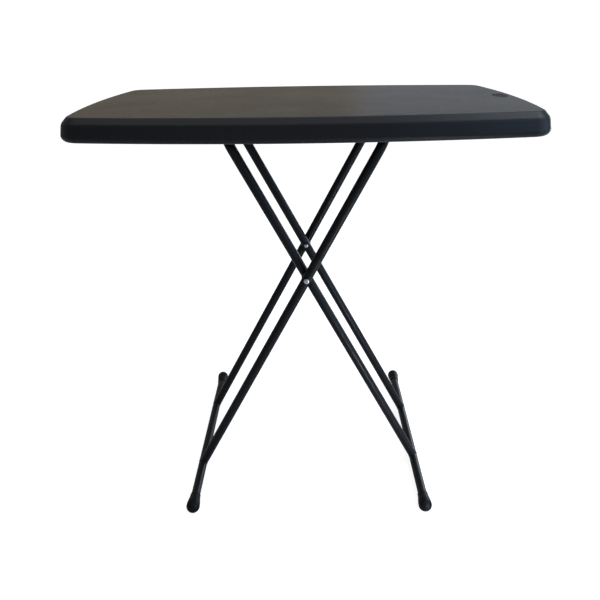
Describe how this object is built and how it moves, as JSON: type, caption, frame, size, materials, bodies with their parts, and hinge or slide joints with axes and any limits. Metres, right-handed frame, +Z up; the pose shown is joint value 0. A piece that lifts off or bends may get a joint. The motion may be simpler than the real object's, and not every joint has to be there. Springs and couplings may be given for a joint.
{
  "type": "folding table",
  "caption": "Small folding side table: dark moulded top with bowed edges on two crossed tube leg frames that fold flat and set its height in notched racks.",
  "frame": {"origin": "on the floor under the middle of the top, at the tallest height setting", "axes": "+X to the right along the top's long side, +Y to the rear, +Z up"},
  "size_m": [0.752, 0.497, 0.7204],
  "materials": {
    "moulded_top": "fine pebbled blow-moulded polyethylene, warm near-black, soft sheen",
    "powder_coat": "near-black gloss powder coat on steel tube",
    "cap_rubber": "smooth black moulded rubber, slightly glossy",
    "bright_steel": "bright nickel-plated steel",
    "zinc_plate": "dull zinc-plated pressed steel",
    "nylon": "black moulded nylon"
  },
  "bodies": {
    "top": {"tabletop": "moulded_top", "pivot_bush_front": "nylon", "pivot_bush_rear": "nylon", "pivot_saddle_front": "zinc_plate", "pivot_saddle_rear": "zinc_plate", "height_rack_front": "zinc_plate", "height_rack_rear": "zinc_plate", "saddle_screws": "bright_steel", "rack_screws": "bright_steel"},
    "inner_frame": {"inner_leg_tube": "powder_coat", "inner_foot_bar": "powder_coat", "inner_foot_cap_front": "cap_rubber", "inner_foot_cap_rear": "cap_rubber", "leg_spacer_front": "nylon", "leg_spacer_rear": "nylon", "rivet_washer_front": "powder_coat", "rivet_washer_rear": "powder_coat"},
    "outer_frame": {"outer_leg_tube": "powder_coat", "outer_foot_bar": "powder_coat", "outer_foot_cap_front": "cap_rubber", "outer_foot_cap_rear": "cap_rubber", "pivot_rivet_front": "bright_steel", "pivot_rivet_rear": "bright_steel"}
  },
  "joints": [
    {"name": "fold", "type": "hinge", "parent": "top", "child": "inner_frame", "pos_m": [-0.13609, 0, 0.67436], "axis": [0, -1, 0], "range_deg": [0, 59.9]},
    {"name": "leg_cross", "type": "hinge", "parent": "inner_frame", "child": "outer_frame", "pos_m": [0, 0, 0.42054], "axis": [0, 1, 0], "range_deg": [0, 119.9]}
  ],
  "couplings": [
    {"joint": "leg_cross", "follows": "fold", "ratio": 2}
  ]
}
